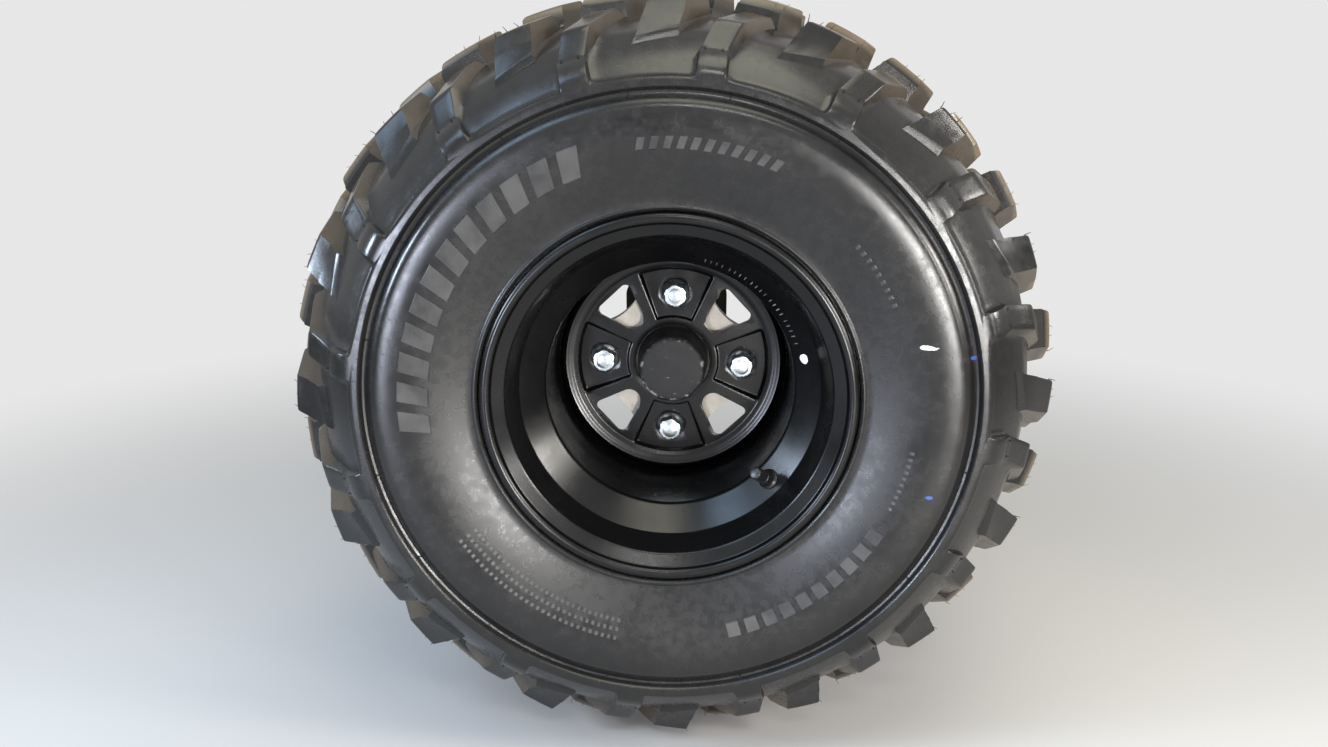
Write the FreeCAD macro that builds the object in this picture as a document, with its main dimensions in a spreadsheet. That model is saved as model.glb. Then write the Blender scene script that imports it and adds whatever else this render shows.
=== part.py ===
import FreeCAD, Part
import math
import os
import re
import Sketcher
from FreeCAD import Placement, Rotation, Vector

# Rear wheel of a quad bike on its hub, stub axle and bearing housing.
# The axle lies along Y. The wheel's outer side faces -Y, +X is forward and +Z is up.
# The origin is on the axle, at the face where the bearing housing bolts to the machine.
# Wheel pieces are drawn in "depths": distances inboard of the rim's outer face.

doc = FreeCAD.newDocument("quad_rear_wheel")

# Driving dimensions in millimetres and degrees: name, value, meaning.
SIZES = [
    ("wheel_turn", 2.1, "angle at which the wheel stands, clockwise from outside"),
    ("seat_gap", 0.3, "gap between the tyre and the rim"),
    ("fit_gap", 0.1, "radial gap between machined pieces that seat in each other"),
    ("running_gap", 0.08, "radial gap of a turning fit"),
    ("cut_margin", 12, "how far a cut runs past the sheet that it opens"),
    # stamped disc: depths from the rim's outer face
    ("disc_depth", 131.4, "depth of the disc's outer face between the pads"),
    ("disc_sheet", 3.5, "disc sheet, and the depth of its nut pads"),
    ("disc_bore", 31, "radius of the centre hole"),
    ("ramp_radius", 80, "radius where the disc's rim starts to rise"),
    ("bead_rise", 3.6, "rise of the bead at the disc's edge"),
    ("bead_run", 9.6, "radial run of the rise to the bead's crest"),
    ("bead_fall", 6.1, "radial run from the bead's crest to the well"),
    ("skirt_length", 17, "length of the disc's skirt along the well"),
    ("pad_inner", 38, "inner radius of the recessed nut pads"),
    ("pad_rim", 1.5, "flat sheet left outside the pads"),
    ("pad_angle", 44, "angle that a pad takes"),
    ("pad_overlap", 2.5, "how far a pad's plate laps under the disc's sheet"),
    ("window_tip", 41, "radius at which the windows start"),
    ("window_foot", 7.5, "half width of a window there, before rounding"),
    ("window_bend", 9.2, "radius of a window's inner corners"),
    ("window_rim", 4, "flat sheet left outside the windows"),
    ("window_half", 16, "half width of a window at its outer end"),
    ("window_corner", 5, "radius of a window's outer corners"),
    # rim barrel, rolled from sheet: the side that shows
    ("rim_width", 226, "over both rim lips"),
    ("rim_sheet", 3, "rim sheet"),
    ("drop_rise", 18.8, "radial rise from the well to the bead seat"),
    ("seat_rise", 6.3, "radial rise of the bead seat"),
    ("flange_rise", 17.7, "radial rise from the bead seat to the lip's crest"),
    ("seat_depth", 10.5, "depth of the bead seat's outer end"),
    ("seat_width", 23, "width of the bead seat"),
    ("drop_width", 18.5, "width of the slope between the bead seat and the well"),
    ("lip_width", 8.4, "radial width of the curled lip"),
    ("lip_tail", 9, "depth where the curl's edge ends"),
    # studs and nuts
    ("stud_count", 4, "studs, nuts and windows"),
    ("stud_circle", 57.5, "radius of the stud circle"),
    ("stud_radius", 5, "radius of the M10 studs"),
    ("stud_gap", 0.25, "gap round a stud in the hub, the disc and its nut"),
    ("stud_reach", 12, "how far a stud stands out of its pad"),
    ("stud_head", 8, "radius of the stud's head"),
    ("stud_head_height", 3.5, "height of the stud's head"),
    ("nut_flats", 17, "width over the nut's flats"),
    ("nut_height", 15, "height of the nut"),
    ("nut_room", 1, "room over the stud inside the nut"),
    # hub
    ("hub_flange", 12, "thickness of the hub's flange"),
    ("lobe_rim", 15.5, "how far the hub's lobes reach past the stud circle"),
    ("scallop_radius", 46, "radius of the hollows between the lobes"),
    ("scallop_centre", 103, "radius at which the hollows are centred"),
    ("hub_pilot", 24, "radius of the hub's pilot in the disc's centre"),
    ("pilot_height", 8, "height of the pilot"),
    ("hub_barrel", 28, "radius of the hub's barrel"),
    ("hub_length", 44, "hub length behind the disc"),
    ("hub_bore", 14, "radius of the hub's bore"),
    # centre cap
    ("cap_height", 37.4, "height of the cap over the hub's face"),
    ("cap_radius", 27.4, "radius of the cap's end"),
    ("cap_base", 29.8, "radius of the cap where it enters the disc"),
    ("cap_wall", 2.2, "wall of the cap"),
    # stub axle
    ("axle_reach", 3.4, "how far the axle passes the hub's face"),
    ("axle_collar", 21, "radius of the axle's collar"),
    ("collar_length", 13.6, "length of the collar between the hub and the bearing"),
    ("journal", 17.5, "radius of the bearing's bore"),
    ("journal_over", 4, "how far the journal passes the bearing"),
    ("spline_radius", 13.5, "radius over the splines"),
    ("spline_root", 12.2, "radius at the bottom of the splines"),
    ("spline_count", 12, "number of splines"),
    ("spline_slot", 3.4, "width of the slots between splines"),
    ("spline_end", 34, "mounting face to the axle's inner end"),
    ("spline_length", 28, "length of the splines"),
    # bearing and its housing
    ("bearing_radius", 32, "outer radius of the bearing"),
    ("bearing_width", 37, "width of the bearing"),
    ("bearing_inset", 30, "mounting face to the bearing"),
    ("housing_mouth", 24, "radius of the housing's outer opening"),
    ("housing_lip", 6, "thickness of the shoulder that stops the bearing"),
    ("housing_barrel", 40, "outer radius of the housing's barrel"),
    ("mount_thick", 11, "thickness of the bolt flange"),
    ("bolt_count", 4, "bolt holes and ribs"),
    ("bolt_circle", 50, "radius of the bolt circle"),
    ("bolt_hole", 5.25, "radius of the bolt holes"),
    ("ear_radius", 12, "radius of the flange's ears"),
    ("rib_thick", 8, "thickness of the housing's ribs"),
    ("rib_length", 34, "length of the ribs along the barrel"),
    ("rib_rise", 6, "height of the ribs at the flange"),
    ("rib_root", 1, "how deep the ribs are rooted in the barrel"),
    # valve
    ("valve_angle", 133, "place of the valve, clockwise from the top"),
    ("valve_hole", 5.3, "radius of the valve hole"),
    ("stem_foot", 8, "radius of the rubber foot inside the rim"),
    ("stem_foot_height", 4, "height of the foot"),
    ("stem_radius", 5, "radius of the stem and its cap"),
    ("stem_length", 23, "length of the stem and its cap over the rim"),
    # tyre: radii build up from the rim's lip
    ("bead_toe", 31.5, "depth of the bead's toe"),
    ("bead_heel", 13.6, "depth of the bead's heel"),
    ("rim_guard", 0.8, "gap between the tyre's ledge and the rim's lip"),
    ("ledge_depth", 3, "depth of the tyre where it leaves the lip"),
    ("flank_rise", 29.5, "radial rise from the lip to the flat sidewall"),
    ("belly_depth", -13.5, "depth of the sidewall at its widest"),
    ("band_width", 61, "radial width of the flat sidewall"),
    ("panel_cut", 6, "how far the panels lie below the flat sidewall"),
    ("shoulder_rise", 30, "radial rise from the flat sidewall to the shoulder"),
    ("shoulder_depth", 19, "depth of the carcass's shoulder"),
    ("crown_rise", 14, "radial rise from the shoulder to the crown"),
    ("crown_depth", 55, "depth where the crown starts"),
    ("tread_wall", 18, "rubber under the crown"),
    # lugs: two rows on each side of the crown
    ("tread_turn", 7.1, "angle of the first lug, clockwise from the top"),
    ("lug_count", 16, "lugs in each row"),
    ("lug_slant", 31, "angle by which the lugs lean clockwise as they go inwards"),
    ("lug_skew", 13, "angle by which the lugs' ends are skewed"),
    ("lug_root", 8, "how deep the lugs are rooted under the crown"),
    ("bar_width", 19.5, "width of the shoulder bars"),
    ("foot_inset", 1, "how far inside the flat sidewall's edge the bars' feet start"),
    ("foot_sink", 0.3, "how deep the bars' feet lie under the flat sidewall there"),
    ("knee_rise", 19, "radial rise from the flat sidewall to the bars' knee"),
    ("knee_depth", 2, "depth of the bars' knee"),
    ("knee_root", 10, "how deep the bars are rooted under their knee"),
    ("bar_rise", 20, "radial rise from the knee to the bars' outer top edge"),
    ("bar_run", 13, "how far that edge lies inboard of the knee"),
    ("bar_crest", 11, "radial rise of the bars' top behind that edge"),
    ("bar_root", 2, "how deep the bars are rooted under the shoulder"),
    ("bar_lap", 1, "how far the bars run into the near blocks"),
    ("wedge_width", 25, "width of the wedges between the bars"),
    ("wedge_lead", 4.5, "angle by which a wedge's middle leads its half pitch"),
    ("wedge_foot", 8, "how deep a wedge's foot lies under the shoulder"),
    ("wedge_foot_depth", 16, "depth of that foot"),
    ("wedge_edge", 7, "height over the crown of a wedge's outer top edge"),
    ("wedge_edge_depth", 27, "depth of that edge"),
    ("wedge_height", 12.5, "height over the crown of a wedge's inner end"),
    ("wedge_end", 52, "depth of a wedge's inner end"),
    ("block_width", 26, "width of the blocks"),
    ("near_lead", 7.4, "angle by which a near block leads its bar"),
    ("near_start", 50, "depth where the near blocks start"),
    ("near_end", 80, "depth where the near blocks end"),
    ("near_low", 14.5, "height of the near blocks where they start"),
    ("near_high", 19, "height of the near blocks where they end"),
    ("far_lead", 8.6, "angle by which a far block leads its half pitch"),
    ("far_start", 72, "depth where the far blocks start"),
    ("far_end", 100, "depth where the far blocks end"),
    ("far_low", 18, "height of the far blocks where they start"),
    ("far_high", 20.5, "height of the far blocks where they end"),
]
NAMES = {name for name, number, meaning in SIZES}

sizes = doc.addObject("Spreadsheet::Sheet", "sizes")
for row, (name, number, meaning) in enumerate(SIZES, 1):
    sizes.set(f"A{row}", meaning)
    sizes.set(f"B{row}", str(number))
    sizes.setAlias(f"B{row}", name)
doc.recompute()


def value(text):
    """The number that an expression of sizes stands for now."""
    return float(sizes.evalExpression(text))


def bound(text):
    """The same expression as another object has to write it."""
    return re.sub(r"[a-z]\w*", lambda word: ("sizes." if word[0] in NAMES else "") + word[0], text)


def constrain(sketch, kind, *where, size):
    """Add one dimension to a sketch and tie it to an expression of sizes."""
    number = sketch.addConstraint(Sketcher.Constraint(kind, *where, value(size)))
    sketch.setExpression(f"Constraints[{number}]", bound(size))


def outline(sketch, corners, closed=True):
    """Straight edges from corner to corner; a third entry rounds a corner with a tangent arc."""
    count = len(corners)
    points = [Vector(value(corner[0]), value(corner[1]), 0) for corner in corners]
    arrive, leave, middle = list(points), list(points), {}
    for i, corner in enumerate(corners):
        if len(corner) > 2:
            radius = value(corner[2])
            before = (points[i] - points[i - 1]).normalize()
            after = (points[(i + 1) % count] - points[i]).normalize()
            half = before.getAngle(after) / 2
            inward = (after - before).normalize()
            arrive[i] = points[i] - before * (radius * math.tan(half))
            leave[i] = points[i] + after * (radius * math.tan(half))
            middle[i] = points[i] + inward * (radius / math.cos(half) - radius)
    edges = count if closed else count - 1
    for i in range(edges):
        sketch.addGeometry(Part.LineSegment(leave[i], arrive[(i + 1) % count]))
    for i, corner in enumerate(corners):
        before, after = (i - 1) % edges, i % edges
        inner = closed or 0 < i < count - 1
        if i in middle:
            arc = sketch.addGeometry(Part.Arc(arrive[i], middle[i], leave[i]))
            mark = sketch.addGeometry(Part.Point(points[i]), True)
            turn = (points[i] - points[i - 1]).cross(points[(i + 1) % count] - points[i]).z
            start, end = (1, 2) if turn > 0 else (2, 1)
            for line in (before, after):
                sketch.addConstraint(Sketcher.Constraint("PointOnObject", mark, 1, line))
            sketch.addConstraint(Sketcher.Constraint("Tangent", before, 2, arc, start))
            sketch.addConstraint(Sketcher.Constraint("Tangent", arc, end, after, 1))
            constrain(sketch, "Radius", arc, size=corner[2])
            tip = (mark, 1)
        elif inner:
            sketch.addConstraint(Sketcher.Constraint("Coincident", before, 2, after, 1))
            tip = (after, 1)
        else:
            tip = (after, 1) if i == 0 else (edges - 1, 2)
        constrain(sketch, "DistanceX", -1, 1, *tip, size=corner[0])
        constrain(sketch, "DistanceY", -1, 1, *tip, size=corner[1])


def circle(sketch, across, up, radius):
    """One circle whose centre and radius are expressions of sizes."""
    centre = Vector(value(across), value(up), 0)
    ring = sketch.addGeometry(Part.Circle(centre, Vector(0, 0, 1), value(radius)))
    constrain(sketch, "DistanceX", -1, 1, ring, 3, size=across)
    constrain(sketch, "DistanceY", -1, 1, ring, 3, size=up)
    constrain(sketch, "Radius", ring, size=radius)


def plane(body, role):
    """The body's own origin plane or axis with that role."""
    return next(item for item in body.Origin.OriginFeatures if item.Role == role)


def new_body(name):
    """A body for one piece."""
    return doc.addObject("PartDesign::Body", name)


def sketch_on(body, role, name):
    """A sketch on an origin plane of the body."""
    sketch = body.newObject("Sketcher::SketchObject", name)
    sketch.AttachmentSupport = [(plane(body, role), "")]
    sketch.MapMode = "FlatFace"
    return sketch


def revolve(body, name, corners):
    """Turn a closed section of (radius, depth) corners about the axle."""
    sketch = sketch_on(body, "XY_Plane", name + "_section")
    outline(sketch, corners)
    feature = body.newObject("PartDesign::Revolution", name)
    feature.Profile = sketch
    feature.ReferenceAxis = (plane(body, "Y_Axis"), [""])
    feature.Angle = 360
    doc.recompute()
    return feature


def extrude(body, name, kind, sketch, length, reverse=False, midplane=False):
    """Pad or Pocket a sketch by a length, reversed or half to each side."""
    feature = body.newObject("PartDesign::" + kind, name)
    feature.Profile = sketch
    feature.Reversed = reverse
    feature.Midplane = midplane
    feature.Length = value(length)
    feature.setExpression("Length", bound(length))
    doc.recompute()
    return feature


def repeat(body, name, features, count):
    """Copy features evenly round the axle."""
    pattern = body.newObject("PartDesign::PolarPattern", name)
    pattern.Originals = features
    pattern.Axis = (plane(body, "Y_Axis"), [""])
    pattern.Angle = 360
    pattern.Occurrences = int(value(count))
    pattern.setExpression("Occurrences", bound(count))
    body.Tip = pattern
    doc.recompute()
    return pattern


# Depths that follow from the sizes, from the disc inboard to the housing's mounting face.
PAD_FACE = "(disc_depth + disc_sheet)"
HUB_FACE = "(disc_depth + 2 * disc_sheet)"
CAP_END = f"({HUB_FACE} - cap_height)"
HUB_END = f"({HUB_FACE} + hub_length)"
BEARING_START = f"({HUB_END} + collar_length)"
BEARING_END = f"({BEARING_START} + bearing_width)"
MOUNT = f"({BEARING_END} + bearing_inset)"
HOUSING_START = f"({BEARING_START} - housing_lip)"
DROP_DEPTH = "(seat_depth + seat_width)"
WELL_DEPTH = f"({DROP_DEPTH} + drop_width)"
# Radii that follow from the sizes, from the disc out to the tyre's crown.
BEAD_CREST = "(ramp_radius + bead_run)"
WELL = f"({BEAD_CREST} + bead_fall)"
DROP = f"({WELL} + drop_rise)"
SEAT = f"({DROP} + seat_rise)"
LIP = f"({SEAT} + flange_rise)"
FLANK = f"({LIP} + flank_rise)"
BAND = f"({FLANK} + band_width)"
SHOULDER = f"({BAND} + shoulder_rise)"
CROWN = f"({SHOULDER} + crown_rise)"
KNEE = f"({BAND} + knee_rise)"
# How fast the bead seat falls inwards.
SEAT_FALL = "(seat_rise / seat_width)"


def bead_at(depth):
    """Radius of the tyre's bead at a depth, on the outside of the rim's seat."""
    thickness = f"rim_sheet * sqrt(1 + {SEAT_FALL} ^ 2)"
    return f"({SEAT} + {thickness} + seat_gap - ({depth} - seat_depth) * {SEAT_FALL})"


def mirrored(corners):
    """The same (radius, depth) corners on the inboard side of the wheel."""
    return [(radius, f"rim_width - ({depth})") for radius, depth in corners]


def place(piece, turn="wheel_turn", at=None):
    """Stand a piece on the axle, turned clockwise as seen from outside, at a place of its own."""
    piece.Placement = Placement(
        Vector(0, -value(MOUNT), 0), Rotation(Vector(0, 1, 0), value(turn)))
    if at:
        piece.Placement = piece.Placement * at
    return piece


def carried(angle, radius):
    """A place carried out from the axle to a radius at an angle from the top."""
    turn = Placement(Vector(0, 0, 0), Rotation(Vector(0, 1, 0), angle))
    return turn * Placement(Vector(0, 0, value(radius)), Rotation())


def valve_line(own_axis):
    """Placement on the valve's line, square to the rim's slope, in the wheel's own frame."""
    slope = math.atan2(value("drop_width"), value("drop_rise"))
    turn = math.radians(value("valve_angle - wheel_turn"))
    outward = Vector(math.sin(turn), 0, math.cos(turn))
    # the line leaves the slope towards the axle and the outer side
    line = outward * -math.sin(slope) + Vector(0, -math.cos(slope), 0)
    foot = outward * value(f"({DROP} + {WELL}) / 2")
    foot += Vector(0, value(f"({DROP_DEPTH} + {WELL_DEPTH}) / 2"), 0)
    return Placement(foot, Rotation(own_axis, line))


def sheet_ring(name, path_corners, thickness):
    """A ring of pressed sheet: the path of the side that shows, thickened and turned.

    The sheet lies to the right of the path, or to its left with a minus sign."""
    path = doc.addObject("Sketcher::SketchObject", name + "_path")
    outline(path, path_corners, closed=False)
    section = doc.addObject("Part::Offset2D", name + "_section")
    section.Source = path
    section.Mode = "Skin"
    section.Join = "Intersection"
    section.Fill = True
    section.Value = value(thickness)
    section.setExpression("Value", bound(thickness))
    ring = doc.addObject("Part::Revolution", name + "_ring")
    ring.Source = section
    ring.Axis = (0, 1, 0)
    ring.Angle = 360
    ring.Solid = True
    doc.recompute()
    return ring


def sector(sketch, inner, outer, angle):
    """A ring sector centred on the sketch's upright axis."""
    half = math.radians(value(angle) / 2)
    start, end = math.pi / 2 - half, math.pi / 2 + half
    for radius in (inner, outer):
        edge = Part.Circle(Vector(0, 0, 0), Vector(0, 0, 1), value(radius))
        sketch.addGeometry(Part.ArcOfCircle(edge, start, end))
    for side in (start, end):
        way = Vector(math.cos(side), math.sin(side), 0)
        sketch.addGeometry(Part.LineSegment(way * value(inner), way * value(outer)))
    for arc, radius in ((0, inner), (1, outer)):
        sketch.addConstraint(Sketcher.Constraint("Coincident", arc, 3, -1, 1))
        constrain(sketch, "Radius", arc, size=radius)
    for line, tip, sign in ((2, 1, ""), (3, 2, "-")):
        sketch.addConstraint(Sketcher.Constraint("Coincident", line, 1, 0, tip))
        sketch.addConstraint(Sketcher.Constraint("Coincident", line, 2, 1, tip))
        sketch.addConstraint(Sketcher.Constraint("PointOnObject", -1, 1, line))
        constrain(sketch, "DistanceX", -1, 1, 1, tip,
                  size=f"{sign}({outer}) * sin(({angle}) / 2)")


def facing(body, name, depth, angle=0):
    """A sketch square to the axle at a depth, its upright axis turned from the top.

    Its normal points outboard, so a Pad grows outboard and a Pocket cuts inboard."""
    sketch = body.newObject("Sketcher::SketchObject", name)
    sketch.AttachmentSupport = [(plane(body, "XZ_Plane"), "")]
    sketch.MapMode = "FlatFace"
    turn = Rotation(Vector(0, 0, 1), -angle)
    sketch.AttachmentOffset = Placement(Vector(0, 0, -value(depth)), turn)
    sketch.setExpression("AttachmentOffset.Base.z", bound(f"-({depth})"))
    return sketch


def axial(body, name, angle=0):
    """A sketch in the plane through the axle and a radius: its x is depth, its y is radius."""
    sketch = body.newObject("Sketcher::SketchObject", name)
    sketch.AttachmentSupport = [(plane(body, "YZ_Plane"), "")]
    sketch.MapMode = "FlatFace"
    sketch.AttachmentOffset = Placement(Vector(0, 0, 0), Rotation(Vector(1, 0, 0), angle))
    return sketch


def finished(piece, label):
    """Give a piece the name of its node."""
    piece.Label = label
    pieces.append(piece)


pieces = []

# Rim barrel: rolled steel, with lip, flange wall, bead seat and slope down to a central well.
rim_side = [
    (LIP, "lip_tail"),
    (LIP, "0"),
    (f"{LIP} - lip_width", "0"),
    (SEAT, "seat_depth"),
    (DROP, DROP_DEPTH),
    (WELL, WELL_DEPTH),
]
rim_ring = sheet_ring("rim", rim_side + mirrored(reversed(rim_side)), "rim_sheet")
valve_bore = doc.addObject("Part::Cylinder", "valve_bore")
valve_bore.setExpression("Radius", bound("valve_hole"))
valve_bore.setExpression("Height", bound("2 * cut_margin"))
valve_bore.Placement = valve_line(Vector(0, 0, 1)) * Placement(
    Vector(0, 0, -value("cut_margin")), Rotation())
rim = doc.addObject("Part::Cut", "rim")
rim.Base = rim_ring
rim.Tool = valve_bore
finished(place(rim), "rim_barrel")

# Wheel disc: pressed sheet, with recessed nut pads, windows between them and a skirt.
disc_ring = sheet_ring("disc", [
    ("disc_bore", "disc_depth"),
    ("ramp_radius", "disc_depth"),
    (BEAD_CREST, "disc_depth - bead_rise"),
    (f"{WELL} - fit_gap", "disc_depth + disc_sheet / 2"),
    (f"{WELL} - fit_gap", "disc_depth + skirt_length"),
], "-disc_sheet")
disc = new_body("disc")
disc.BaseFeature = disc_ring
PAD_OUTER = "(ramp_radius - pad_rim)"
pad_hole = facing(disc, "pad_hole_sketch", "disc_depth - bead_rise")
sector(pad_hole, "pad_inner", PAD_OUTER, "pad_angle")
pad_cut = extrude(disc, "pad_cut", "Pocket", pad_hole, "disc_sheet + bead_rise")
pad_plate = facing(disc, "pad_plate_sketch", PAD_FACE)
sector(pad_plate, "pad_inner - pad_overlap", f"{PAD_OUTER} + pad_overlap",
       "pad_angle + pad_overlap")
pad = extrude(disc, "pad", "Pad", pad_plate, "disc_sheet", reverse=True)
stud_hole = facing(disc, "stud_hole_sketch", PAD_FACE)
circle(stud_hole, "0", "stud_circle", "stud_radius + stud_gap")
disc_hole = extrude(disc, "disc_hole", "Pocket", stud_hole, "disc_sheet")
opening = facing(disc, "window_sketch", "disc_depth - bead_rise", 45)
outline(opening, [
    ("window_half", "ramp_radius - window_rim", "window_corner"),
    ("-window_half", "ramp_radius - window_rim", "window_corner"),
    ("-window_foot", "window_tip", "window_bend"),
    ("window_foot", "window_tip", "window_bend"),
])
window_cut = extrude(disc, "window_cut", "Pocket", opening, "bead_rise + cut_margin")
repeat(disc, "disc_pattern", [pad_cut, pad, disc_hole, window_cut], "stud_count")
finished(place(disc), "wheel_disc")

# Hub: a cast flange with four lobes that carry the pressed-in studs, a pilot and a long barrel.
hub = new_body("hub")
revolve(hub, "hub_turned", [
    ("hub_bore", f"{HUB_FACE} - pilot_height"),
    ("hub_pilot", f"{HUB_FACE} - pilot_height"),
    ("hub_pilot", HUB_FACE),
    ("stud_circle + lobe_rim", HUB_FACE),
    ("stud_circle + lobe_rim", f"{HUB_FACE} + hub_flange"),
    ("hub_barrel", f"{HUB_FACE} + hub_flange"),
    ("hub_barrel", HUB_END),
    ("hub_bore", HUB_END),
])
hollow = facing(hub, "scallop_sketch", f"{HUB_FACE} - pilot_height", 45)
circle(hollow, "0", "scallop_centre", "scallop_radius")
scallop = extrude(hub, "scallop", "Pocket", hollow, "pilot_height + hub_flange")
shank_sketch = facing(hub, "shank_sketch", HUB_FACE)
circle(shank_sketch, "0", "stud_circle", "stud_radius")
shank = extrude(hub, "shank", "Pad", shank_sketch, "disc_sheet + stud_reach")
head_sketch = facing(hub, "head_sketch", f"{HUB_FACE} + hub_flange")
circle(head_sketch, "0", "stud_circle", "stud_head")
head = extrude(hub, "head", "Pad", head_sketch, "stud_head_height", reverse=True)
repeat(hub, "hub_pattern", [scallop, shank, head], "stud_count")
finished(place(hub), "hub")

# Nuts: closed hexagons, each on its pad over a stud's end.
for number in range(1, int(value("stud_count")) + 1):
    nut = new_body(f"nut_{number}")
    hexagon = facing(nut, f"hexagon_{number}", PAD_FACE)
    corner = "nut_flats / sqrt(3)"
    outline(hexagon, [
        (corner, "0"),
        (f"{corner} / 2", "nut_flats / 2"),
        (f"-{corner} / 2", "nut_flats / 2"),
        (f"-{corner}", "0"),
        (f"-{corner} / 2", "-nut_flats / 2"),
        (f"{corner} / 2", "-nut_flats / 2"),
    ])
    extrude(nut, f"nut_hex_{number}", "Pad", hexagon, "nut_height")
    nut_bore = facing(nut, f"nut_bore_sketch_{number}", f"{PAD_FACE} - stud_reach - nut_room")
    circle(nut_bore, "0", "0", "stud_radius + stud_gap")
    nut.Tip = extrude(nut, f"nut_bore_{number}", "Pocket", nut_bore, "stud_reach + nut_room")
    spot = carried(number * 360 / value("stud_count"), "stud_circle")
    finished(place(nut, at=spot), f"lug_nut_{number}")

# Centre cap: a hollow moulded cup that stands in the disc's centre on the hub's face.
cap = new_body("cap")
revolve(cap, "cap_turned", [
    ("0", CAP_END),
    ("cap_radius", CAP_END),
    ("cap_base", HUB_FACE),
    ("cap_radius - cap_wall", HUB_FACE),
    ("cap_radius - cap_wall", f"{CAP_END} + cap_wall"),
    ("0", f"{CAP_END} + cap_wall"),
])
finished(place(cap), "centre_cap")

# Valve: a rubber foot inside the rim and the stem that stands out of the slope, with its cap.
valve = new_body("valve")
revolve(valve, "valve_turned", [
    ("0", "rim_sheet + stem_foot_height"),
    ("stem_foot", "rim_sheet + stem_foot_height"),
    ("stem_foot", "rim_sheet"),
    ("stem_radius", "rim_sheet"),
    ("stem_radius", "-stem_length"),
    ("0", "-stem_length"),
])
finished(place(valve, at=valve_line(Vector(0, -1, 0))), "valve")

# Stub axle: spigot in the hub, collar, bearing journal and splined inner end.
axle = new_body("axle")
AXLE_END = f"({HUB_FACE} - axle_reach)"
revolve(axle, "axle_turned", [
    ("0", AXLE_END),
    ("hub_bore - fit_gap", AXLE_END),
    ("hub_bore - fit_gap", HUB_END),
    ("axle_collar", HUB_END),
    ("axle_collar", BEARING_START),
    ("journal", BEARING_START),
    ("journal", f"{BEARING_END} + journal_over"),
    ("spline_radius", f"{BEARING_END} + journal_over"),
    ("spline_radius", f"{MOUNT} + spline_end"),
    ("0", f"{MOUNT} + spline_end"),
])
slot_sketch = facing(axle, "slot_sketch", f"{MOUNT} + spline_end - spline_length")
outline(slot_sketch, [
    ("-spline_slot / 2", "spline_root"),
    ("spline_slot / 2", "spline_root"),
    ("spline_slot / 2", "journal"),
    ("-spline_slot / 2", "journal"),
])
slot = extrude(axle, "slot", "Pocket", slot_sketch, "spline_length")
repeat(axle, "splines", [slot], "spline_count")
finished(place(axle), "stub_axle")

# Bearing: a sealed unit in the housing, in which the axle's journal turns.
bearing = new_body("bearing")
revolve(bearing, "bearing_turned", [
    ("journal + running_gap", BEARING_START),
    ("bearing_radius - fit_gap", BEARING_START),
    ("bearing_radius - fit_gap", BEARING_END),
    ("journal + running_gap", BEARING_END),
])
finished(place(bearing, "0"), "wheel_bearing")

# Bearing housing: a cast barrel with a four-eared bolt flange, braced by ribs.
housing = new_body("housing")
revolve(housing, "housing_turned", [
    ("housing_mouth", HOUSING_START),
    ("housing_barrel", HOUSING_START),
    ("housing_barrel", MOUNT),
    ("bearing_radius", MOUNT),
    ("bearing_radius", BEARING_START),
    ("housing_mouth", BEARING_START),
])
flange_sketch = facing(housing, "flange_sketch", MOUNT, 45)
ear = "bolt_circle + ear_radius * sqrt(2)"
outline(flange_sketch, [
    (ear, "0", "ear_radius"),
    ("0", ear, "ear_radius"),
    (f"-({ear})", "0", "ear_radius"),
    ("0", f"-({ear})", "ear_radius"),
])
circle(flange_sketch, "0", "0", "housing_barrel - rib_rise")
extrude(housing, "flange", "Pad", flange_sketch, "mount_thick")
bolt_sketch = facing(housing, "bolt_sketch", f"{MOUNT} - mount_thick", 45)
circle(bolt_sketch, "0", "bolt_circle", "bolt_hole")
bolt = extrude(housing, "bolt", "Pocket", bolt_sketch, "mount_thick")
rib_sketch = axial(housing, "rib_sketch")
outline(rib_sketch, [
    (f"{MOUNT} - mount_thick / 2", "housing_barrel - rib_root"),
    (f"{MOUNT} - mount_thick / 2", "housing_barrel + rib_rise"),
    (f"{MOUNT} - mount_thick", "housing_barrel + rib_rise"),
    (f"{MOUNT} - mount_thick - rib_length", "housing_barrel - rib_root"),
])
rib = extrude(housing, "rib", "Pad", rib_sketch, "rib_thick", midplane=True)
repeat(housing, "housing_pattern", [bolt, rib], "bolt_count")
finished(place(housing, "0"), "bearing_housing")

# Tyre: one hollow carcass with its lugs.
tyre = new_body("tyre")
outer_side = [
    (bead_at("bead_toe"), "bead_toe"),
    (bead_at("bead_heel"), "bead_heel"),
    (f"{LIP} + rim_guard", "bead_heel"),
    (f"{LIP} + rim_guard", "ledge_depth"),
    (FLANK, "belly_depth"),
    (BAND, "belly_depth"),
    (BAND, "belly_depth + panel_cut"),
    (SHOULDER, "shoulder_depth"),
    (CROWN, "crown_depth"),
]
cavity_side = [
    (f"{CROWN} - tread_wall", "bead_toe"),
]
section = outer_side + mirrored(reversed(outer_side))
section += mirrored(cavity_side) + list(reversed(cavity_side))
revolve(tyre, "carcass", section)


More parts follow.
